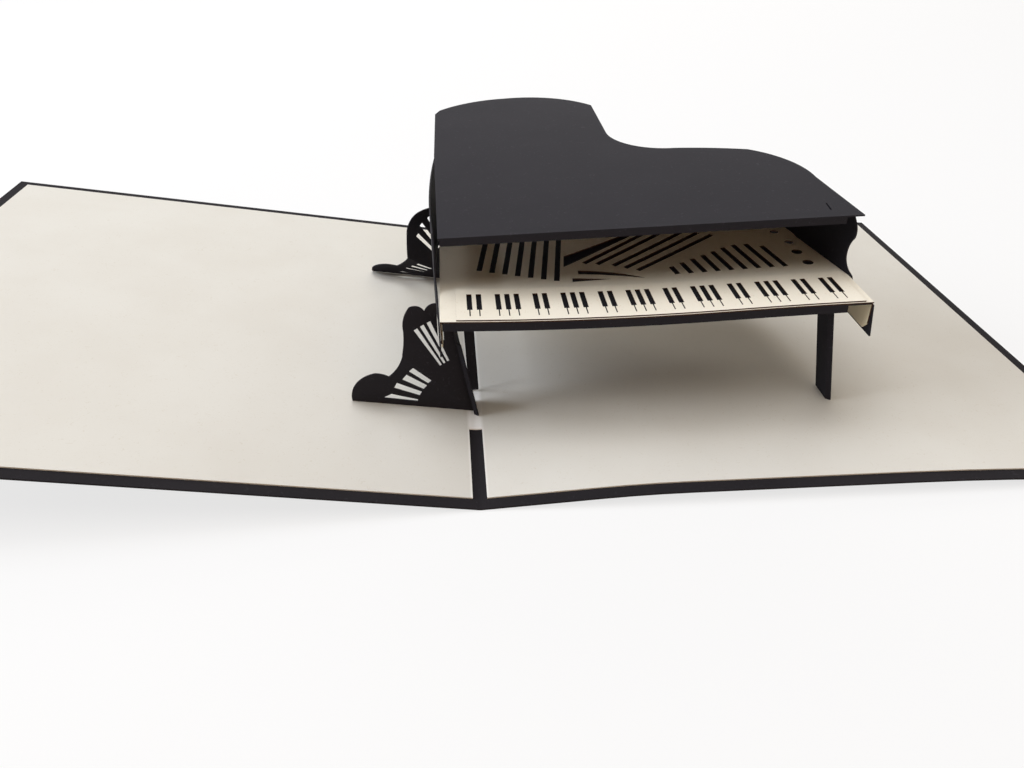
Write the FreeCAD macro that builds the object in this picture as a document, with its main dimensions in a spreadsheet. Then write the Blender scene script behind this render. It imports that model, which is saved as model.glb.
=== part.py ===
import FreeCAD, Part
import os
from math import acos, atan2, cos, degrees, radians, sin, sqrt, tan

# Pop-up card with a paper grand piano, opened flat on a table.
# Sizes and sketches count from the lowest point of the spine fold at the front edge: X to the right
# across the pages, Y back along the spine, Z up. The bodies are then placed so that the origin is on
# the table at the middle of the open card. Everything is in millimetres and degrees.

SIZES = [
    # Card stock
    ("cover_thickness", 0.45),
    ("lining_thickness", 0.30),
    ("card_thickness", 0.35),
    ("paper_thickness", 0.30),
    ("glue_gap", 0.05),
    # Open pages
    ("page_width", 150.0),
    ("page_depth", 150.0),
    ("lining_end_margin", 3.0),
    ("lining_side_margin", 3.2),
    ("left_page_rise", 8.3),
    ("right_page_rise", 3.6),
    ("spine_fold_radius", 4.0),
    ("right_page_climb", 26.0),
    ("right_page_crest_radius", 300.0),
    ("right_page_droop_radius", 700.0),
    ("notch_width", 3.1),
    ("notch_length", 25.0),
    ("notch_offset", -0.15),
    # Legs
    ("leg_lean", 10.9),
    ("wall_foot", -0.25),
    ("wall_front", 34.0),
    ("wall_back", 118.0),
    ("front_leg_width", 6.0),
    ("rear_leg_front", 108.0),
    ("arch_height", 20.5),
    ("leg_flange", 1.3),
    ("right_leg_foot", 87.1),
    ("right_leg_front", 32.0),
    ("right_leg_width", 6.2),
    ("strut_foot", 0.05),
    ("strut_place", 44.6),
    ("strut_width", 2.5),
    ("strut_lean", 3.0),
    # Deck
    ("deck_left", -7.5),
    ("deck_height", 30.0),
    ("deck_tilt", 1.1),
    ("deck_length", 98.1),
    ("deck_dip_place", 40.5),
    ("deck_sag_radius", 781.0),
    ("deck_turn_place", 66.0),
    ("deck_rise_radius", 1239.0),
    ("deck_front", 28.2),
    ("tray_back", 84.0),
    ("fascia_depth", 2.1),
    ("fascia_length", 92.4),
    ("keyboard_left", 3.6),
    ("keyboard_length", 92.8),
    ("keyboard_front", 28.5),
    ("keyboard_back", 44.0),
    ("flap_depth", 7.6),
    ("flap_back", 41.0),
    # Keys
    ("key_pitch", 2.205),
    ("first_black_key", 6.75),
    ("black_key_width", 1.22),
    ("black_key_front", 33.3),
    ("black_key_back", 41.0),
    ("key_line_width", 0.28),
    ("key_line_front", 30.3),
    ("window_left", 5.0),
    ("window_length", 89.2),
    ("window_front", 29.9),
    ("window_back", 41.7),
    # Side walls
    ("side_drop", 8.2),
    ("side_nose", 26.9),
    ("left_side_back", 96.0),
    ("left_side_bow", 1.45),
    ("arm_top", 46.0),
    # Lid
    ("lid_height", 43.7),
    ("lid_front", 42.0),
    ("lid_side_slope", 2.05),
    ("lid_back_slope", 2.06),
    ("lid_length", 98.4),
    ("lid_flange", 2.0),
    ("soundboard_inset", 1.6),
    # Brackets on the left page
    ("front_bracket_place", 35.6),
    ("rear_bracket_place", 108.5),
    ("front_bracket_angle", 72.0),
    ("rear_bracket_angle", 87.6),
    ("bracket_reach", 29.5),
]

V = FreeCAD.Vector
doc = FreeCAD.newDocument("PopUpCard")
sheet = doc.addObject("Spreadsheet::Sheet", "Sizes")
for row, (alias, value) in enumerate(SIZES, start=1):
    sheet.set("A%d" % row, alias)
    sheet.set("B%d" % row, str(value))
    sheet.setAlias("B%d" % row, alias)
doc.recompute()


def size(alias):
    """A driving dimension, read from the sheet."""
    return float(sheet.get(alias))


def line(a, b):
    return Part.LineSegment(V(a[0], a[1], 0), V(b[0], b[1], 0))


def arc(a, middle, b):
    return Part.Arc(V(a[0], a[1], 0), V(middle[0], middle[1], 0), V(b[0], b[1], 0))


def polygon(points):
    """Closed outline of straight edges."""
    return [line(a, b) for a, b in zip(points, points[1:] + points[:1])]


def rectangle(x0, y0, x1, y1):
    return polygon([(x0, y0), (x1, y0), (x1, y1), (x0, y1)])


def new_body(label, base=(0, 0, 0), rotation=None):
    body = doc.addObject("PartDesign::Body", label)
    body.Label = label
    body.Placement = FreeCAD.Placement(V(*base) - card_middle(), rotation or FreeCAD.Rotation())
    return body


def new_sketch(body, plane, outlines, offset=None):
    """Sketch on one of the body's own origin planes, holding closed outlines."""
    sketch = body.newObject("Sketcher::SketchObject", body.Label + "_sketch")
    origin_plane = [f for f in body.Origin.OriginFeatures if f.Role == plane][0]
    sketch.AttachmentSupport = [(origin_plane, "")]
    sketch.MapMode = "FlatFace"
    if offset is not None:
        sketch.AttachmentOffset = offset
    for outline in outlines:
        for edge in outline:
            sketch.addGeometry(edge, False)
    return sketch


def add_pad(body, sketch, length, back=False):
    """Pad by an alias of the sheet or by a worked-out length."""
    pad = body.newObject("PartDesign::Pad", body.Label + "_pad")
    pad.Profile = sketch
    pad.Reversed = back
    if isinstance(length, str):
        pad.setExpression("Length", "Sizes." + length)
    else:
        pad.Length = length
    return pad


def cut_through(body, sketch):
    """Cuts a sketch's outlines out of the whole body, both ways."""
    pocket = body.newObject("PartDesign::Pocket", body.Label + "_cut")
    pocket.Profile = sketch
    pocket.Type = "ThroughAll"
    pocket.SideType = "Symmetric"
    return pocket


def shifted(x=0.0, y=0.0, z=0.0, rotation=None):
    return FreeCAD.Placement(V(x, y, z), rotation or FreeCAD.Rotation())


# Open pages: the section of the card across the spine

RISE = radians(size("left_page_rise"))
CLIMB = radians(size("right_page_rise"))
LINING_TOP = size("cover_thickness") + size("lining_thickness")


def section_segments(side):
    """Length and bend of each stretch of the page's underside, from the spine outwards."""
    fold = size("spine_fold_radius")
    if side < 0:
        return [(fold * RISE, 1 / fold), (size("page_width") - fold * RISE, 0.0)]
    crest = size("right_page_crest_radius")
    droop = size("right_page_droop_radius")
    climb = size("right_page_climb")
    crest_height = (fold + crest) * (1 - cos(CLIMB)) + climb * sin(CLIMB)
    droop_length = droop * acos(1 - crest_height / droop)
    bent = (fold + crest) * CLIMB
    flat = size("page_width") - bent - climb - droop_length
    return [(fold * CLIMB, 1 / fold), (climb, 0.0), (crest * CLIMB, -1 / crest),
            (flat, 0.0), (droop_length, -1 / droop)]


def walk(segments, along, lift, heading=0.0):
    """Point on one side of a bent sheet, measured along it, from each stretch's length and bend."""
    x = z = 0.0
    left = along
    for number, (length, bend) in enumerate(segments, start=1):
        step = left if number == len(segments) else min(left, length)
        if bend:
            turn = step * bend
            x += (sin(heading + turn) - sin(heading)) / bend
            z += (cos(heading) - cos(heading + turn)) / bend
            heading += turn
        else:
            x += step * cos(heading)
            z += step * sin(heading)
        left -= step
        if left <= 1e-9:
            break
    return (x - sin(heading) * lift, z + cos(heading) * lift)


def page_point(along, lift):
    """Point of the open pages' section, measured from the spine, lifted off the underside."""
    side = -1 if along < 0 else 1
    x, z = walk(section_segments(side), abs(along), lift)
    return (side * x, z)


def page_places():
    """Places along the pages where the section's bend changes."""
    places = [0.0]
    for side in (-1, 1):
        place = 0.0
        for length, _ in section_segments(side)[:-1]:
            place += length
            places.append(side * place)
    return sorted(places)


def curve(point, places, start, end, lift):
    """Arcs and lines of a bent sheet's face from one place to another."""
    stops = [start] + [p for p in places if start < p < end] + [end]
    edges = []
    for a, b in zip(stops, stops[1:]):
        p, m, q = point(a, lift), point((a + b) / 2, lift), point(b, lift)
        bow = abs((m[0] - p[0]) * (q[1] - p[1]) - (m[1] - p[1]) * (q[0] - p[0]))
        edges.append(arc(p, m, q) if bow > 1e-4 else line(p, q))
    return edges


def sheet_section(point, places, start, end, low, high):
    """Closed section of a bent sheet between two lifts."""
    ends = [line(point(place, low), point(place, high)) for place in (start, end)]
    return curve(point, places, start, end, low) + curve(point, places, start, end, high) + ends


def card_middle():
    """Middle of the open card on the table, which becomes the origin."""
    edges = [page_point(side * size("page_width"), lift)[0]
             for side in (-1, 1) for lift in (0.0, size("cover_thickness"))]
    return V((min(edges) + max(edges)) / 2, size("page_depth") / 2, 0)


def page_height(x, lift=LINING_TOP):
    """Height of the lining's top above the table at a place across the pages."""
    low, high = (-size("page_width"), 0.0) if x < 0 else (0.0, size("page_width"))
    for _ in range(50):
        middle = (low + high) / 2
        if page_point(middle, lift)[0] < x:
            low = middle
        else:
            high = middle
    return page_point((low + high) / 2, lift)[1]


def make_cover():
    """Black card, one sheet with a single fold at the spine."""
    body = new_body("cover")
    width = size("page_width")
    outline = sheet_section(page_point, page_places(), -width, width, 0.0, size("cover_thickness"))
    add_pad(body, new_sketch(body, "XZ_Plane", [outline]), "page_depth", back=True)
    return body


def make_lining():
    """Cream sheet glued inside the cover, slotted along the spine at both ends."""
    margin = size("lining_end_margin")
    half = size("page_width") - size("lining_side_margin")
    depth = size("page_depth") - 2 * margin
    body = new_body("lining", (0, margin, 0))
    outline = sheet_section(page_point, page_places(), -half, half, size("cover_thickness"), LINING_TOP)
    add_pad(body, new_sketch(body, "XZ_Plane", [outline]), depth, back=True)
    left = size("notch_offset") - size("notch_width") / 2
    right = size("notch_offset") + size("notch_width") / 2
    notch = size("notch_length")
    slots = [rectangle(left, -1.0, right, notch), rectangle(left, depth - notch, right, depth + 1.0)]
    cut_through(body, new_sketch(body, "XY_Plane", slots))
    return body


# Deck frame: its left end is raised over the spine and it climbs a little to the right.
# The deck itself sags between its ends, more to the left of the middle.

DECK_TILT = radians(size("deck_tilt"))
LEAN = radians(size("leg_lean"))
DECK_TURN = FreeCAD.Rotation(V(0, 1, 0), -size("deck_tilt"))
LEG_TURN = FreeCAD.Rotation(V(0, 1, 0), -size("leg_lean"))
DECK_UNDER = size("paper_thickness") + size("card_thickness") + size("glue_gap")


def deck_base(lift=0.0):
    """Left end of the deck's top face, lifted square to the deck."""
    return (size("deck_left") - lift * sin(DECK_TILT), 0.0, size("deck_height") + lift * cos(DECK_TILT))


def deck_x(x):
    """Distance along the deck of a place across the pages."""
    return (x - size("deck_left")) / cos(DECK_TILT)


def deck_point(along, lift):
    """Point of the sagging deck's section in the deck's frame, measured from its left end."""
    first = size("deck_turn_place")
    segments = [(first, 1 / size("deck_sag_radius")), (size("deck_length") - first, -1 / size("deck_rise_radius"))]
    return walk(segments, along, lift, -size("deck_dip_place") / size("deck_sag_radius"))


def deck_section(start, end, low, high):
    """Closed section of a sheet of the deck."""
    return sheet_section(deck_point, [size("deck_turn_place")], start, end, low, high)


def leg_length(foot_x, foot_z, lean, thickness):
    """Length of a leaning leg from its foot to the tray's underside, less the glue gap."""
    under = DECK_UNDER + size("glue_gap")
    slope = tan(DECK_TILT)
    start = size("deck_height") - under / cos(DECK_TILT) - size("deck_left") * slope
    corner_x = foot_x + thickness * cos(lean)
    corner_z = foot_z + thickness * sin(lean)
    length = (start + slope * corner_x - corner_z) / (cos(lean) + slope * sin(lean))
    right = deck_x(corner_x - length * sin(lean))
    sag = min(deck_point(right, 0)[1], deck_point(right - thickness, 0)[1])
    return length + sag / cos(lean)


def make_spine_wall():
    """Black card wall that stands on the spine on a front and a rear leg and leans to the left."""
    thickness = size("card_thickness")
    foot_x = size("wall_foot")
    foot_z = page_height(foot_x) + size("glue_gap")
    length = leg_length(foot_x, foot_z, LEAN, thickness)
    front, back = size("wall_front"), size("wall_back")
    arch_front = front + size("front_leg_width")
    arch_back, arch_top = size("rear_leg_front"), size("arch_height")
    corner = 2.0
    outline = [line((front, 0), (arch_front, 0)), line((arch_front, 0), (arch_front, arch_top - corner)),
               arc((arch_front, arch_top - corner),
                   (arch_front + corner * (1 - cos(radians(45))), arch_top - corner * (1 - sin(radians(45)))),
                   (arch_front + corner, arch_top)),
               line((arch_front + corner, arch_top), (arch_back - corner, arch_top)),
               arc((arch_back - corner, arch_top),
                   (arch_back - corner * (1 - cos(radians(45))), arch_top - corner * (1 - sin(radians(45)))),
                   (arch_back, arch_top - corner)),
               line((arch_back, arch_top - corner), (arch_back, 0)),
               line((arch_back, 0), (back, 0)), line((back, 0), (back, length)),
               line((back, length), (front, length)), line((front, length), (front, 0))]
    body = new_body("spine_wall", (foot_x, 0, foot_z), LEG_TURN)
    add_pad(body, new_sketch(body, "YZ_Plane", [outline]), "card_thickness")
    flange = folded_strip((0, front), thickness, size("leg_flange"))
    add_pad(body, new_sketch(body, "XY_Plane", [flange]), arch_top)
    return body


def folded_strip(corner, thickness, flange):
    """Section of a narrow flange folded forward and to the right from a leg's front edge."""
    x, y = corner
    reach = flange * cos(radians(45))
    edge = thickness * cos(radians(45))
    return polygon([(x, y + thickness / 2), (x, y), (x + reach, y - reach), (x + reach + edge, y - reach + edge),
                    (x + thickness, y + edge / 2), (x + thickness, y + thickness / 2)])


def make_right_leg():
    """Black card strip that stands on the right page, with a narrow flange along its front edge."""
    thickness = size("card_thickness")
    foot_x = size("right_leg_foot")
    foot_z = page_height(foot_x) + size("glue_gap")
    reach = thickness + (size("leg_flange") + thickness) * cos(radians(45))
    length = leg_length(foot_x, foot_z, LEAN, reach)
    front = size("right_leg_front")
    body = new_body("right_leg", (foot_x, 0, foot_z), LEG_TURN)
    strip = rectangle(0, front, thickness, front + size("right_leg_width"))
    add_pad(body, new_sketch(body, "XY_Plane", [strip]), length)
    flange = folded_strip((0, front), thickness, size("leg_flange"))
    add_pad(body, new_sketch(body, "XY_Plane", [flange]), length)
    return body


def make_spine_strut():
    """Narrow black strip that stands across the spine behind the wall's front leg."""
    half = size("strut_width") / 2
    foot_x = size("strut_foot") - half
    lean = radians(size("strut_lean"))
    foot_z = max(page_height(foot_x), page_height(foot_x + 2 * half)) + size("glue_gap")
    length = leg_length(foot_x, foot_z, lean, 2 * half)
    turn = FreeCAD.Rotation(V(0, 1, 0), -size("strut_lean"))
    body = new_body("spine_strut", (foot_x, size("strut_place"), foot_z), turn)
    outline = rectangle(0, 0, 2 * half, length)
    add_pad(body, new_sketch(body, "XZ_Plane", [outline]), "card_thickness", back=True)
    return body


def make_tray():
    """Black card under the deck, with a narrow band folded down along its front edge."""
    top = -size("paper_thickness") - size("glue_gap") / 2
    bottom = top - size("card_thickness")
    front = size("deck_front") + 0.1
    back = size("tray_back")
    edge = size("paper_thickness") + size("glue_gap")
    right = size("deck_length") - edge
    open_left, open_front = 0.88 * size("deck_length"), 0.54 * (back - front) + front
    body = new_body("tray", deck_base(), DECK_TURN)
    start = shifted(z=-front)
    sheet_outline = deck_section(edge, right, bottom, top)
    add_pad(body, new_sketch(body, "XZ_Plane", [sheet_outline], start), back - front, back=True)
    band = deck_section(edge + 0.15, size("fascia_length"), top - size("fascia_depth"), (top + bottom) / 2)
    add_pad(body, new_sketch(body, "XZ_Plane", [band], start), "card_thickness", back=True)
    outline = piano_outline(0, size("lid_front"), size("deck_length"), size("soundboard_inset") + 0.4)
    near, far = outline[1].StartPoint, outline[1].EndPoint
    side = near + (far - near) * ((open_front - near.y) / (far.y - near.y))
    corner = polygon([(open_left - 1.5, back + 5), (right + 5, back + 5), (right + 5, near.y),
                      (near.x, near.y), (side.x, side.y), (open_left, open_front + 2)])
    cut_through(body, new_sketch(body, "XY_Plane", [corner]))
    return body


# Soundboard: cream sheet with the piano's outline, slots and holes, and a glue flap at each end

def piano_outline(x, y, length, inset):
    """Outline of a grand piano seen from above, behind a straight front edge of the given length."""
    k = length / 98.4

    def at(px, py):
        return (x + px * k, y + py * k)

    right_front = at(98.4, 0)
    right_back = at(96.1 - inset, 24)
    shoulder = at(85.5 - inset, 46.2 - inset)
    waist = at(66 - inset / 2, 50.2 - inset)
    neck = at(49.5 - inset, 66)
    tail_right = at(49.3 - inset, 92.8)
    tail_middle = at(22.5, 104.6 - inset)
    tail_left = at(1.0 + inset, 94.9)
    left_back = at(-0.5 + inset / 2, 91.2)
    left_middle = at(-0.8 + inset / 2, 53.3)
    return [line(at(0, 0), right_front), line(right_front, right_back),
            arc(right_back, at(93.6 - inset, 36.1 - inset / 2), shoulder),
            arc(shoulder, at(77 - inset, 48.5 - inset), waist),
            arc(waist, at(54.4 - inset, 54.6 - inset / 2), neck), line(neck, tail_right),
            arc(tail_right, at(37.8, 102.4 - inset), tail_middle),
            arc(tail_middle, at(9.0 + inset / 2, 100.9 - inset), tail_left),
            line(tail_left, left_back), line(left_back, left_middle), line(left_middle, at(0, 0))]


def slot(x, y, length, width, lean):
    """Straight slot that starts at a point and runs back, leaning to the right by an angle."""
    forward = V(sin(radians(lean)), cos(radians(lean)), 0)
    across = V(forward.y, -forward.x, 0) * (width / 2)
    start = V(x, y, 0)
    end = start + forward * length
    corners = [start - across, start + across, end + across, end - across]
    return polygon([(c.x, c.y) for c in corners])


def upright_slots():
    """Seven slots at the left, whose front ends step forward to the right."""
    return [slot(9.7 + 3.09 * n, 54.3 - 1.06 * n, 28.0, 1.35, 8.0) for n in range(7)]


def diagonal_slots():
    """Six slots that run back to the right across the middle, the first of them a wedge."""
    starts = [(36.3, 57.4), (39.5, 56.6), (43.4, 55.3), (46.1, 53.7), (48.9, 52.0)]
    slots = [slot(x, y, 30.0, 1.35, 48.0 + n) for n, (x, y) in enumerate(starts)]
    return [polygon([(30.9, 55.6), (52.8, 74.6), (51.9, 75.8), (31.7, 62.0)])] + slots


def treble_slots():
    """Nine slots at the right, which lengthen to the right along the diagonal."""
    lengths = [min(4.5 + 1.75 * n, 14.6) for n in range(8)] + [12.8]
    return [slot(58.2 + 3.38 * n, 48.6 + 0.04 * n, length, 1.35, -9.0) for n, length in enumerate(lengths)]


def wedge_slots():
    """Two tapering slots in front of the diagonals."""
    upper = [line((34.0, 51.3), (34.1, 53.2)), arc((34.1, 53.2), (42.4, 51.5), (50.0, 47.5)),
             arc((50.0, 47.5), (42.0, 49.9), (34.0, 51.3))]
    lower = polygon([(32.0, 47.1), (32.2, 49.1), (41.8, 47.9)])
    return [upper, lower]


def peg_holes():
    """Four round holes in a row at the treble end."""
    holes = [(91.3, 50.4, 1.35), (90.9, 56.8, 1.35), (91.0, 63.0, 1.1), (89.6, 70.0, 1.1)]
    return [[Part.Circle(V(x, y, 0), V(0, 0, 1), radius)] for x, y, radius in holes]


def make_soundboard():
    """Cream sheet of the deck. The keys are seen against the black tray through a window."""
    front = size("deck_front")
    length = size("deck_length")
    lid_front = size("lid_front")
    body = new_body("soundboard", deck_base(), DECK_TURN)
    section = deck_section(-1.0, length + 1.0, -size("paper_thickness"), 0.0)
    reach = lid_front + 1.1 * length
    add_pad(body, new_sketch(body, "XZ_Plane", [section], shifted(z=-front)), reach - front, back=True)
    outline = piano_outline(0, lid_front, length, size("soundboard_inset"))[1:-1]
    last = outline[-1].EndPoint
    outline += [line((last.x, last.y), (0, lid_front)), line((0, lid_front), (0, front)),
                line((0, front), (length, front)), line((length, front), (length, lid_front))]
    waste = rectangle(-3.0, front - 3.0, length + 3.0, reach + 3.0)
    cut_through(body, new_sketch(body, "XY_Plane", [waste, outline]))
    window = rectangle(size("window_left"), size("window_front"),
                       size("window_left") + size("window_length"), size("window_back"))
    for cuts in (upright_slots(), diagonal_slots(), treble_slots() + wedge_slots() + peg_holes() + [window]):
        cut_through(body, new_sketch(body, "XY_Plane", cuts))
    drop = -size("flap_depth")
    flap_back = size("flap_back")
    bevel = 1.8
    flap = polygon([(front + 0.3, 0), (front + 0.3, drop + bevel), (front + 0.3 + bevel, drop),
                    (flap_back, drop), (flap_back, 0)])
    add_pad(body, new_sketch(body, "YZ_Plane", [flap]), "paper_thickness")
    far = shifted(z=length - size("paper_thickness"))
    add_pad(body, new_sketch(body, "YZ_Plane", [flap], far), "paper_thickness")
    return body


def make_keyboard():
    """Cream strip glued on the deck, with the black keys and the lines between keys cut through."""
    left, front = size("keyboard_left"), size("keyboard_front")
    body = new_body("keyboard", deck_base(), DECK_TURN)
    lift = size("glue_gap") / 2
    strip = deck_section(left, left + size("keyboard_length"), lift, lift + size("paper_thickness"))
    depth = size("keyboard_back") - front
    add_pad(body, new_sketch(body, "XZ_Plane", [strip], shifted(z=-front)), depth, back=True)
    half = size("black_key_width") / 2
    thin = size("key_line_width") / 2
    key_front, key_back, line_front = size("black_key_front"), size("black_key_back"), size("key_line_front")
    black_in_octave = (0, 1, 3, 4, 5)
    steps = [octave * 7 + step for octave in range(6) for step in black_in_octave]
    keys = []
    for step in steps:
        x = size("first_black_key") + step * size("key_pitch")
        if x > left + size("keyboard_length") - size("key_pitch"):
            continue
        keys.append(polygon([(x - half, key_front), (x - thin, key_front), (x - thin, line_front),
                             (x + thin, line_front), (x + thin, key_front), (x + half, key_front),
                             (x + half, key_back), (x - half, key_back)]))
    cut_through(body, new_sketch(body, "XY_Plane", keys))
    return body


# Lid and the two side walls

SIDE_SLOPE = tan(radians(size("lid_side_slope")))
BACK_SLOPE = tan(radians(size("lid_back_slope")))
LID_CORNER = (size("deck_left"), size("lid_front"), size("lid_height"))
LID_TURN = FreeCAD.Rotation(V(0, 1, 0), -size("lid_side_slope")).multiply(
    FreeCAD.Rotation(V(1, 0, 0), size("lid_back_slope")))


def lid_clear(x, y):
    """Height of the lid's underside above the deck's top, square to the deck, less the glue gap."""
    under = size("lid_height") + SIDE_SLOPE * (x - size("deck_left")) + BACK_SLOPE * (y - size("lid_front"))
    deck = size("deck_height") + tan(DECK_TILT) * (x - size("deck_left"))
    return (under - deck) * cos(DECK_TILT) - size("card_thickness") - size("glue_gap")


def arm_profile(x):
    """Front of a side wall, from its lower corner up the curved arm of a piano case to the lid."""
    top = size("arm_top")
    nose = size("side_nose")
    high = lid_clear(x, top)
    root, throat, cheek, brow = (top - 5.0, 0.4), (top - 1.1, 0.32 * high), (top - 2.7, 0.59 * high), 0.82 * high
    return [line((nose, -size("side_drop")), (nose + 1.6, -1.0)), line((nose + 1.6, -1.0), (top - 6.2, -1.0)),
            line((top - 6.2, -1.0), root), arc(root, (top - 1.6, 0.165 * high), throat),
            arc(throat, (top - 1.6, 0.475 * high), cheek), arc(cheek, (top - 2.9, 0.72 * high), (top - 2.3, brow)),
            line((top - 2.3, brow), (top, high))]


def bent_strip(edges, near, far):
    """Outline of a thin wall that follows a chain of edges on their right, between two distances."""
    points = [edges[0].StartPoint]
    for edge in edges:
        points += [edge.value((edge.FirstParameter + edge.LastParameter) / 2), edge.EndPoint]
    rows = []
    for distance in (near, far):
        row = []
        for number, point in enumerate(points):
            run = points[min(number + 1, len(points) - 1)] - points[max(number - 1, 0)]
            run.normalize()
            row.append((point.x + run.y * distance, point.y - run.x * distance))
        rows.append(row)
    outline = []
    for row in rows:
        for number, edge in enumerate(edges):
            a, m, b = row[2 * number:2 * number + 3]
            outline.append(arc(a, m, b) if isinstance(edge, Part.ArcOfCircle) or isinstance(edge, Part.Arc)
                           else line(a, b))
    return outline + [line(rows[0][0], rows[1][0]), line(rows[0][-1], rows[1][-1])]


def make_side(label, x, edges):
    """Side wall of a grand piano. It follows a chain of edges, up to the lid, with an arm at its front."""
    gap = size("glue_gap")
    drop, high, nose, top = size("side_drop"), size("lid_height"), size("side_nose"), size("arm_top")
    body = new_body(label, deck_base(), DECK_TURN)
    strip = bent_strip(edges, gap, gap + size("card_thickness"))
    add_pad(body, new_sketch(body, "XY_Plane", [strip], shifted(z=-drop)), drop + high)
    waste = arm_profile(size("deck_left") + x)
    end = waste[-1].EndPoint
    waste += [line((end.x, end.y), (top, high)), line((top, high), (nose - 1, high)),
              line((nose - 1, high), (nose - 1, -drop)), line((nose - 1, -drop), (nose, -drop))]
    cut_through(body, new_sketch(body, "YZ_Plane", [waste]))
    deck = FreeCAD.Placement(V(*deck_base()), DECK_TURN)
    under = deck.inverse().multiply(FreeCAD.Placement(V(*LID_CORNER), LID_TURN))
    place = under.multiply(shifted(z=-size("card_thickness") - gap))
    above = body.newObject("PartDesign::Pocket", label + "_cut")
    reach = size("deck_length") + 9
    above.Profile = new_sketch(body, "XY_Plane", [rectangle(-9, -9, reach, reach)], place)
    above.Reversed = True
    above.Length = high
    return body


def make_left_side():
    """Black wall outside the deck's left flap, bowed outwards a little along the piano's long side."""
    front, back, bow = size("lid_front"), size("left_side_back"), size("left_side_bow")
    edges = [arc((-0.1, back), (-bow, (front + back) / 2), (-0.4, front)),
             line((-0.4, front), (0, size("side_nose")))]
    return make_side("left_side", 0, edges)


def make_right_side():
    """Black wall outside the deck's right flap. It bends round the soundboard to the piano's waist."""
    length, front = size("deck_length"), size("lid_front")
    edges = [line((length, size("side_nose")), (length, front))]
    edges += piano_outline(0, front, length, size("soundboard_inset"))[1:5]
    return make_side("right_side", length, edges)


def make_lid():
    """Black lid with a narrow band folded down along its front edge."""
    body = new_body("lid", LID_CORNER, LID_TURN)
    length = size("lid_length")
    outline = piano_outline(0, 0, length, 0.0)
    add_pad(body, new_sketch(body, "XY_Plane", [outline]), "card_thickness", back=True)
    band = rectangle(0.4, 0, length - 4.0, size("card_thickness"))
    add_pad(body, new_sketch(body, "XY_Plane", [band]), "lid_flange", back=True)
    slit = slot(91.9, 3.8, 4.0, 0.4, 6.0)
    cut_through(body, new_sketch(body, "XY_Plane", [slit]))
    return body


# Brackets: cut flat as a sector with scalloped lobes and slots, then folded along a crease

class Bracket:
    """Flat pattern and folded place of one bracket between the left page and the spine wall."""

    def __init__(self, y, cut_angle, crease_share):
        self.scale = size("bracket_reach") / 29.5
        self.share = crease_share
        self.cut = radians(cut_angle)
        self.low = self.cut * crease_share
        self.high = self.cut - self.low
        page = V(-cos(RISE), 0, sin(RISE))
        wall = V(-sin(LEAN), 0, cos(LEAN))
        between = page.dot(wall)
        det = 1 - between ** 2
        along_page = (cos(self.low) - between * cos(self.high)) / det
        along_wall = (cos(self.high) - between * cos(self.low)) / det
        flat = page * along_page + wall * along_wall
        out = sqrt(max(0.0, 1 - flat.dot(flat)))
        self.crease = flat + V(0, -out, 0)
        self.across = (self.crease * cos(self.low) - page) * (1 / sin(self.low))
        self.normal = self.crease.cross(self.across)
        self.fold = atan2(wall.dot(self.normal), wall.dot(self.across))
        self.upper_across = self.across * cos(self.fold) + self.normal * sin(self.fold)
        self.upper_normal = self.normal * cos(self.fold) - self.across * sin(self.fold)
        thickness = size("card_thickness")
        self.sign = 1 if self.fold > 0 else -1
        page_normal = V(sin(RISE), 0, cos(RISE))
        wall_normal = V(-cos(LEAN), 0, -sin(LEAN))
        dip = max(0.0, -self.sign * thickness * self.normal.dot(page_normal))
        press = max(0.0, -self.sign * thickness * self.upper_normal.dot(wall_normal))
        corner = V(size("wall_foot"), y, page_height(size("wall_foot")))
        gap = size("glue_gap")
        self.corner = corner + page_normal * (dip + 2 * gap) + wall_normal * (press + 2.5 * gap)

    def point(self, reach, share):
        """Flat point at a distance from the corner and a share of the cut angle."""
        angle = share * self.cut - self.low
        return (reach * self.scale * cos(angle), reach * self.scale * sin(angle))

    def share_at(self, reach, x_limit, skin_side):
        """Share of the cut angle at which the upper half's left or right face meets a place across the card."""
        skin = self.sign * size("card_thickness") * self.upper_normal.x
        skin = max(0.0, skin) if skin_side > 0 else min(0.0, skin)
        low, high = self.share, 1.0
        for _ in range(40):
            middle = (low + high) / 2
            x, y = self.point(reach, middle)
            if self.corner.x + self.crease.x * x + self.upper_across.x * y + skin < x_limit:
                low = middle
            else:
                high = middle
        return low

    def ray(self, near, far, share, near_width, far_width):
        """Tapering slot along a ray from the corner."""
        angle = share * self.cut - self.low
        along = V(cos(angle), sin(angle), 0) * self.scale
        across = V(-sin(angle), cos(angle), 0) * (self.scale / 2)
        corners = [along * near - across * near_width, along * far - across * far_width,
                   along * far + across * far_width, along * near + across * near_width]
        return polygon([(c.x, c.y) for c in corners])


def lower_bracket(b, lobe):
    """Half that is glued to the page: a long base and one round lobe, whose height is a share of the cut."""
    crease_end = b.point(24.6, b.share)
    return [line((0, 0), b.point(29.5, 0)),
            arc(b.point(29.5, 0), b.point(29.3, 0.52 * lobe), b.point(26.4, 0.93 * lobe)),
            arc(b.point(26.4, 0.93 * lobe), b.point(24.8, 0.99 * lobe), b.point(23.1, lobe)),
            arc(b.point(23.1, lobe), b.point(22.9, (b.share + lobe) / 2), crease_end),
            line(crease_end, (0, 0))]


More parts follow.
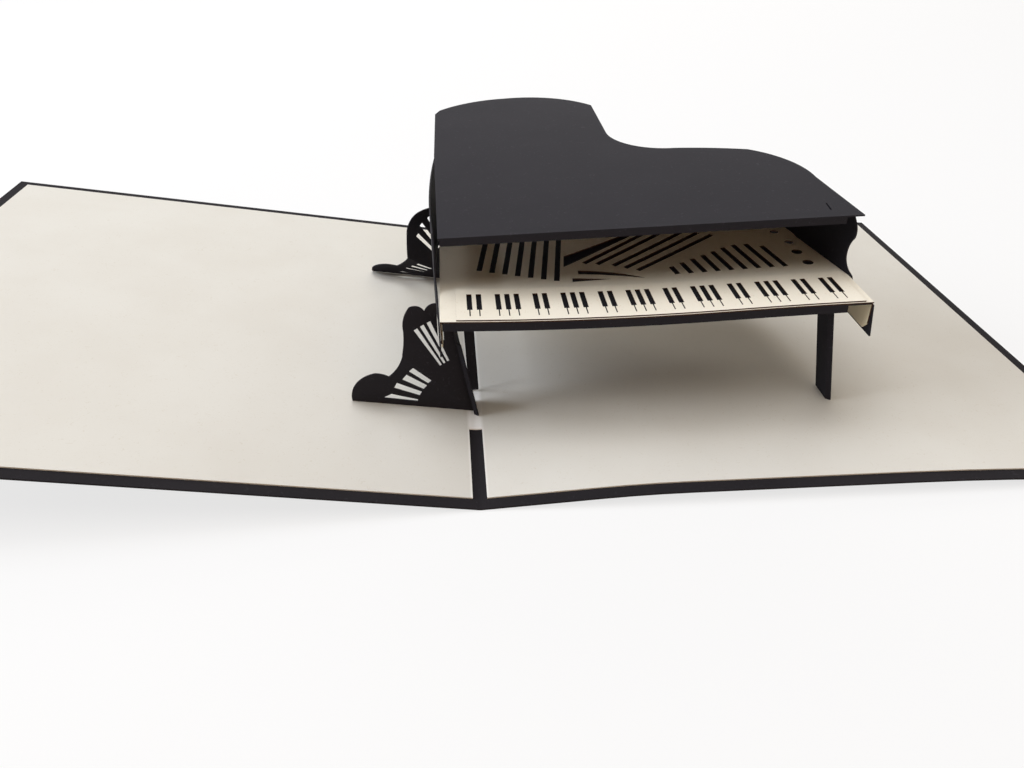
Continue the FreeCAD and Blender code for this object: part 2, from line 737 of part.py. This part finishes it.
def upper_bracket(b, profile):
    """Half that is glued to the wall: a waist, two round lobes and a slit for the deck's side wall."""
    crease_end = b.point(24.6, b.share)
    outside = size("deck_left") - size("card_thickness") - 8 * size("glue_gap")
    inside = size("deck_left") + size("paper_thickness") + 6 * size("glue_gap")
    crown = b.point(31.2, b.share_at(31.2, outside, 1))
    slit_left = b.point(21.6, b.share_at(21.6, outside, 1))
    slit_right = b.point(21.6, b.share_at(21.6, inside, -1))
    prong_left = b.point(27.6, b.share_at(27.6, inside, -1))
    side, brow, peak, cheek, notch, small = [b.point(*p) for p in profile]
    waist = b.point(26.3, (b.share + profile[0][1]) / 2)
    return [line((0, 0), crease_end), arc(crease_end, waist, side), arc(side, brow, peak),
            arc(peak, cheek, notch), arc(notch, small, crown),
            line(crown, slit_left), line(slit_left, slit_right), line(slit_right, prong_left),
            line(prong_left, b.point(27.6, 1.0)), line(b.point(27.6, 1.0), (0, 0))]


def make_bracket(label, y, cut_angle, crease_share, lobe, profile, bars, rays):
    """Bracket cut as one sheet and folded along a crease that runs out from its corner."""
    b = Bracket(y, cut_angle, crease_share)
    body = new_body(label, tuple(b.corner), FreeCAD.Rotation(b.crease, b.across, b.normal, "XYZ"))
    back = b.sign < 0
    add_pad(body, new_sketch(body, "XY_Plane", [lower_bracket(b, lobe)]), "card_thickness", back)
    folded = shifted(rotation=FreeCAD.Rotation(V(1, 0, 0), degrees(b.fold)))
    add_pad(body, new_sketch(body, "XY_Plane", [upper_bracket(b, profile)], folded), "card_thickness", back)
    point = polygon([b.point(14.0, 0.42 * lobe), b.point(14.0, 0.28 * lobe), b.point(22.5, 0.2 * lobe),
                     b.point(20.6, 0.42 * lobe)])
    lower_cuts = [b.ray(*bar) for bar in bars] + [point]
    cut_through(body, new_sketch(body, "XY_Plane", lower_cuts))
    cut_through(body, new_sketch(body, "XY_Plane", [b.ray(*ray) for ray in rays], folded))
    return body


def make_front_bracket():
    """Bracket beside the wall's front leg. It lies almost flat, so its crease hardly shows."""
    profile = [(29.1, 0.691), (31.7, 0.742), (33.2, 0.80), (32.3, 0.845), (30.6, 0.866), (31.4, 0.90)]
    bars = [(14.2, 20.2, 0.495, 1.4, 1.7), (14.0, 20.0, 0.380, 1.7, 2.1), (14.0, 20.6, 0.245, 1.6, 2.0)]
    rays = [(15.9, 27.7, share, 0.5, 0.95) for share in (0.760, 0.808, 0.858)]
    return make_bracket("front_bracket", size("front_bracket_place"), size("front_bracket_angle"), 0.565,
                        0.312, profile, bars, rays)


def make_rear_bracket():
    """Bracket near the wall's rear leg, folded forward so that its upper half stands up."""
    profile = [(28.3, 0.594), (30.2, 0.69), (29.9, 0.765), (29.2, 0.81), (28.3, 0.858), (30.1, 0.885)]
    bars = [(13.6, 19.4, 0.385, 1.4, 1.8), (13.8, 19.6, 0.290, 1.5, 1.9), (14.0, 20.2, 0.195, 1.1, 1.5)]
    rays = [(16.2, 25.4, 0.650, 0.9, 1.2), (16.0, 26.6, 0.728, 0.8, 1.25), (16.0, 26.4, 0.815, 0.8, 1.5)]
    return make_bracket("rear_bracket", size("rear_bracket_place"), size("rear_bracket_angle"), 0.454,
                        0.20, profile, bars, rays)


pieces = [make_cover(), make_lining(), make_spine_wall(), make_right_leg(), make_spine_strut(), make_tray(),
          make_soundboard(), make_keyboard(), make_left_side(), make_right_side(), make_lid(),
          make_front_bracket(), make_rear_bracket()]
doc.recompute()

for obj in doc.Objects:
    if "Invalid" in obj.State or "Error" in obj.State:
        raise RuntimeError("failed: %s %s" % (obj.Label, obj.State))
for piece in pieces:
    shape = piece.Shape
    if shape.isNull() or not shape.isValid() or len(shape.Solids) != 1:
        raise RuntimeError("bad shape: %s with %d solids" % (piece.Label, len(shape.Solids)))

os.makedirs("parts", exist_ok=True)
for piece in pieces:
    piece.Shape.exportStep("parts/%s.step" % piece.Label)
    box = piece.Shape.BoundBox
    print("%-14s x %7.2f %7.2f  y %7.2f %7.2f  z %6.2f %6.2f  volume %8.1f"
          % (piece.Label, box.XMin, box.XMax, box.YMin, box.YMax, box.ZMin, box.ZMax, piece.Shape.Volume))
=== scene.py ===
# Pop-up card with a paper grand piano, lying open on a pale table
import bpy
from math import cos, radians, sin
from mathutils import Matrix, Vector

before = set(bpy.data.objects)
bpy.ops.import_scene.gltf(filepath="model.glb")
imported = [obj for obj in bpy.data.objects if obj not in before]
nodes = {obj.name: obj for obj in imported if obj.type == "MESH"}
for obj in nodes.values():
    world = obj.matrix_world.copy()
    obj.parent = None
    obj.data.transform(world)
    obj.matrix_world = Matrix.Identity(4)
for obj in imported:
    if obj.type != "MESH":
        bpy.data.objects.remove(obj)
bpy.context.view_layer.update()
bpy.ops.object.select_all(action="DESELECT")


# Camera
# A phone held over the front of the spine, looking down at about a third of a right angle
# and a little to the right. The numbers come from the card's straight edges in the photograph.

SENSOR_WIDTH = 36.0
IMAGE_WIDTH_IN_PIXELS = 1024.0
LENS_IN_PIXELS = 817.1
CAMERA_PLACE = (-0.00503, -0.20502, 0.11680)


def aim(yaw, pitch, roll):
    """Camera's right, down and forward directions."""
    forward = Vector((sin(yaw) * cos(pitch), cos(yaw) * cos(pitch), -sin(pitch)))
    right = Vector((cos(yaw), -sin(yaw), 0))
    down = forward.cross(right)
    return right * cos(roll) + down * sin(roll), down * cos(roll) - right * sin(roll), forward


right, down, forward = aim(yaw=radians(4.625), pitch=radians(33.145), roll=radians(-0.521))
camera_data = bpy.data.cameras.new("card_camera")
camera_data.sensor_width = SENSOR_WIDTH
camera_data.lens = LENS_IN_PIXELS * SENSOR_WIDTH / IMAGE_WIDTH_IN_PIXELS
camera_data.clip_start = 0.01
camera = bpy.data.objects.new("card_camera", camera_data)
bpy.context.scene.collection.objects.link(camera)
turn = Matrix((right, -down, -forward)).transposed().to_4x4()
camera.matrix_world = Matrix.Translation(CAMERA_PLACE) @ turn
bpy.context.scene.camera = camera


# Cover
# One sheet of black card of about 350 grams, dyed through and folded once at the spine.
# Matt, with a felted fibre surface, a few paler fibres and cut edges as dark as its faces.

PAPER_IOR = 1.45
CLOUDS_PER_METRE = 45.0
RELIEF_STRENGTH = 0.4


def linear(text):
    """Linear colour from an sRGB hex value."""
    parts = [int(text[i:i + 2], 16) / 255 for i in (1, 3, 5)]
    return tuple(c / 12.92 if c <= 0.04045 else ((c + 0.055) / 1.055) ** 2.4 for c in parts) + (1.0,)


def node(tree, kind, settings=None, **links):
    """Adds a node, sets its values and links its inputs by name, or by number after an underscore."""
    made = tree.nodes.new(kind)
    for name, value in (settings or {}).items():
        if name in made.inputs.keys():
            made.inputs[name].default_value = value
        else:
            setattr(made, name, value)
    for name, source in links.items():
        tree.links.new(source, made.inputs[int(name[1:]) if name[1:].isdigit() else name])
    return made


def mix_colour(tree, share, under, over):
    """Colour between two others, each a hex value or a socket."""
    mixed = node(tree, "ShaderNodeMix", {"data_type": "RGBA"}, _0=share)
    for number, colour in ((6, under), (7, over)):
        if isinstance(colour, str):
            mixed.inputs[number].default_value = linear(colour)
        else:
            tree.links.new(colour, mixed.inputs[number])
    return mixed.outputs[2]


def card_material(name, base, cloud_tone, fibre_tone, roughness, specular, fibre_mm, relief_mm):
    """Paper or card: a soft cloud of two close colours, stray fibres and a felted relief."""
    material = bpy.data.materials.new(name)
    material.use_nodes = True
    tree = material.node_tree
    shader = tree.nodes["Principled BSDF"]
    shader.inputs["Roughness"].default_value = roughness
    shader.inputs["IOR"].default_value = PAPER_IOR
    shader.inputs["Specular IOR Level"].default_value = specular
    place = node(tree, "ShaderNodeTexCoord").outputs["Object"]
    cloud = node(tree, "ShaderNodeTexNoise",
                 {"Scale": CLOUDS_PER_METRE, "Detail": 3.0, "Roughness": 0.55}, Vector=place)
    felt = node(tree, "ShaderNodeTexNoise",
                {"Scale": 1000.0 / fibre_mm, "Detail": 2.0, "Roughness": 0.6}, Vector=place)
    stray = node(tree, "ShaderNodeTexNoise",
                 {"Scale": 350.0 / fibre_mm, "Detail": 1.0, "Distortion": 2.5}, Vector=place)
    cloudy = node(tree, "ShaderNodeMapRange", {"From Min": 0.35, "From Max": 0.65, "To Max": 0.7},
                  Value=cloud.outputs["Fac"])
    fibres = node(tree, "ShaderNodeMapRange", {"From Min": 0.66, "From Max": 0.74, "To Max": 0.55},
                  Value=stray.outputs["Fac"])
    tone = mix_colour(tree, cloudy.outputs["Result"], base, cloud_tone)
    tone = mix_colour(tree, fibres.outputs["Result"], tone, fibre_tone)
    tree.links.new(tone, shader.inputs["Base Color"])
    relief = node(tree, "ShaderNodeBump", {"Strength": RELIEF_STRENGTH, "Distance": relief_mm / 1000.0},
                  Height=felt.outputs["Fac"])
    tree.links.new(relief.outputs["Normal"], shader.inputs["Normal"])
    return material, tree, shader, tone


def dress(names, material):
    """Gives carried-over solids their material."""
    for name in names:
        mesh = nodes[name].data
        mesh.materials.clear()
        mesh.materials.append(material)


cover_card = card_material("through_dyed_black_cover_card", "#232124", "#29272a", "#37353a",
                           roughness=0.85, specular=0.1, fibre_mm=0.5, relief_mm=0.06)[0]
dress(["cover"], cover_card)


# Lining
# Uncoated cream paper of about 250 grams, glued inside the cover and creased with it.
# A whiter stripe along the spine is a painted highlight on the fold's ridge.

CREASE_MIDDLE = -0.0009
CREASE_HALF_WIDTH = 0.0021
CREASE_CORE = 0.6


def calculate(tree, operation, first, second=None):
    """Result of an operation on one or two values, each a number or a socket."""
    made = node(tree, "ShaderNodeMath", {"operation": operation})
    for number, value in enumerate((first, second)):
        if isinstance(value, float):
            made.inputs[number].default_value = value
        elif value is not None:
            tree.links.new(value, made.inputs[number])
    return made.outputs[0]


def distance_across(tree, middle):
    """Distance to either side of a place across the card, in metres."""
    place = node(tree, "ShaderNodeTexCoord").outputs["Object"]
    across = node(tree, "ShaderNodeSeparateXYZ", Vector=place).outputs["X"]
    return calculate(tree, "ABSOLUTE", calculate(tree, "SUBTRACT", across, middle))


lining_paper, tree, shader, tone = card_material(
    "uncoated_cream_lining_paper", "#e3e2db", "#dfddd5", "#d6d2c6",
    roughness=0.85, specular=0.25, fibre_mm=0.4, relief_mm=0.03)
# Painted highlight: a stripe along the spine's fold is mixed towards white.
fold_highlight_mask = node(tree, "ShaderNodeMapRange",
              {"From Min": CREASE_HALF_WIDTH, "From Max": CREASE_HALF_WIDTH * CREASE_CORE},
              Value=distance_across(tree, CREASE_MIDDLE))
highlighted_tone = mix_colour(tree, fold_highlight_mask.outputs["Result"], tone, "#fffefb")
tree.links.new(highlighted_tone, shader.inputs["Base Color"])
dress(["lining"], lining_paper)


# Spine wall, strut, right leg and tray
# Black card of about 300 grams, laser-cut, scored and folded, and glued by its narrow flanges.
# It is a little smoother than the cover, so its faces look even, with cut edges as dark.

black_card = card_material("laser_cut_black_card", "#222126", "#26252a", "#36343b",
                           roughness=0.8, specular=0.12, fibre_mm=0.5, relief_mm=0.04)[0]
dress(["spine_wall", "spine_strut", "right_leg", "tray"], black_card)


# Side walls and lid
# The same black card, cut to the outlines of a grand piano's case and lid.
# The lid is one flat sheet, so its even matt face is what the eye meets first.

dress(["left_side", "right_side", "lid"], black_card)


# Soundboard
# Warm cream card of about 250 grams. Its top shows, and its two ends are folded down as glue flaps.
# The laser scorches every cut edge brown. Every face that doesn't face up, the underside and the flaps
# among them, is tinted tan as a painted warm shade.

SOUNDBOARD_MIDDLE = 0.0409
FLAP_FROM_MIDDLE = 0.0483
FLAT_ENOUGH = 0.7
FACING_UP = 0.5


def scorched_card(name, base, cloud_tone, fibre_tone, painted_shade_tone, edge):
    """Cream card with brown cut edges and a painted warm shade, tan, on faces that don't face up; the flaps
    at its ends aren't edges.
    """
    material, tree, shader, tone = card_material(name, base, cloud_tone, fibre_tone,
                                                 roughness=0.75, specular=0.3, fibre_mm=0.4, relief_mm=0.03)
    normal = node(tree, "ShaderNodeNewGeometry").outputs["Normal"]
    facing = node(tree, "ShaderNodeSeparateXYZ", Vector=normal)
    at_end = calculate(tree, "GREATER_THAN", distance_across(tree, SOUNDBOARD_MIDDLE), FLAP_FROM_MIDDLE)
    upright = calculate(tree, "ABSOLUTE", facing.outputs["Z"])
    sideways = calculate(tree, "ABSOLUTE", facing.outputs["X"])
    flap = calculate(tree, "MULTIPLY", sideways, at_end)
    burnt = calculate(tree, "LESS_THAN", calculate(tree, "MAXIMUM", upright, flap), FLAT_ENOUGH)
    # Painted warm shade: faces that don't face up are mixed towards tan.
    painted_shade_mask = calculate(tree, "LESS_THAN", facing.outputs["Z"], FACING_UP)
    shaded_tone = mix_colour(tree, painted_shade_mask, tone, painted_shade_tone)
    scorched = mix_colour(tree, burnt, shaded_tone, edge)
    tree.links.new(scorched, shader.inputs["Base Color"])
    return material


cream_card = scorched_card("laser_cut_cream_card", "#faf5e6", "#f6f0df", "#e8ddc6",
                           painted_shade_tone="#f3e5c4", edge="#3c2614")
dress(["soundboard"], cream_card)


# Keyboard
# A strip of the same cream card, glued along the front of the deck. The black keys and the lines
# in front of them are cut through it, so the black tray shows in them.

dress(["keyboard"], cream_card)


# Brackets
# The same black card again, cut flat with three scalloped lobes and two groups of slots, and
# folded once. The pale lining shows through the slots.

dress(["front_bracket", "rear_bracket"], black_card)


# Table and room
# A plain white table in a pale, warm room. The camera sees both almost white, and the table
# keeps a faint shadow of the card.

FLOOR_WIDTH = 6.0
FLOOR_DROP = 0.0001
FLOOR_WHITE_SHARE = 0.75
ROOM_STRENGTH = 0.09

bpy.ops.mesh.primitive_plane_add(size=FLOOR_WIDTH, location=(0, 0, -FLOOR_DROP))
floor = bpy.context.object
floor.name = "floor"
white_table = bpy.data.materials.new("white_table")
white_table.use_nodes = True
tree = white_table.node_tree
shader = tree.nodes["Principled BSDF"]
shader.inputs["Base Color"].default_value = linear("#eeeeee")
shader.inputs["Roughness"].default_value = 0.9


def seen_white(tree, lit, kind, share):
    """Mixes plain white into what the camera and the reflections see, and leaves the light alone."""
    rays = node(tree, "ShaderNodeLightPath")
    seen = calculate(tree, "MAXIMUM", rays.outputs["Is Camera Ray"], rays.outputs["Is Glossy Ray"])
    seen = calculate(tree, "MAXIMUM", seen, rays.outputs["Is Transmission Ray"])
    seen = calculate(tree, "MULTIPLY", seen, share)
    white = node(tree, kind, {"Color": (1, 1, 1, 1), "Strength": 1.0})
    return node(tree, "ShaderNodeMixShader", _0=seen, _1=lit, _2=white.outputs[0]).outputs[0]


mixed = seen_white(tree, shader.outputs["BSDF"], "ShaderNodeEmission", FLOOR_WHITE_SHARE)
tree.links.new(mixed, tree.nodes["Material Output"].inputs["Surface"])
floor.data.materials.append(white_table)

room = bpy.data.worlds.new("pale_room")
bpy.context.scene.world = room
room.use_nodes = True
tree = room.node_tree
glow = tree.nodes["Background"]
glow.inputs["Color"].default_value = linear("#ffe6cc")
glow.inputs["Strength"].default_value = ROOM_STRENGTH
mixed = seen_white(tree, glow.outputs[0], "ShaderNodeBackground", 1.0)
tree.links.new(mixed, tree.nodes["World Output"].inputs["Surface"])


# Light
# A neutral window at the left, low enough to shine under the piano, with open sky and a pale
# wall behind the card. A warm ceiling and a faint warm glow from in front soften the shadows.

CARD_MIDDLE = (0.0, 0.0, 0.0)
PIANO_FRONT = (0.0, 0.0, 0.02)


def add_lamp(name, place, target, width, height, watts, colour):
    """Large soft panel, aimed at a point."""
    data = bpy.data.lights.new(name, "AREA")
    data.shape = "RECTANGLE"
    data.size = width
    data.size_y = height
    data.energy = watts
    data.color = linear(colour)[:3]
    lamp = bpy.data.objects.new(name, data)
    lamp.location = place
    lamp.rotation_euler = (Vector(target) - Vector(place)).to_track_quat("-Z", "Y").to_euler()
    bpy.context.scene.collection.objects.link(lamp)


add_lamp("window_light", (-1.22, 0.03, 0.6), CARD_MIDDLE, 0.8, 0.8, watts=15.2, colour="#f1f6ff")
add_lamp("sky_light", (-0.2, 0.45, 1.0), CARD_MIDDLE, 0.8, 0.8, watts=4.6, colour="#f3f7ff")
add_lamp("back_light", (0.3, 1.1, 0.5), CARD_MIDDLE, 1.2, 0.4, watts=4.7, colour="#fff9f0")
add_lamp("ceiling_light", (0.0, -0.15, 1.1), CARD_MIDDLE, 1.2, 1.2, watts=5.2, colour="#fff6ec")
add_lamp("front_light", (0.15, -1.0, 0.22), PIANO_FRONT, 0.8, 0.3, watts=2.0, colour="#ffd6ac")

bpy.context.scene.view_settings.view_transform = "Standard"
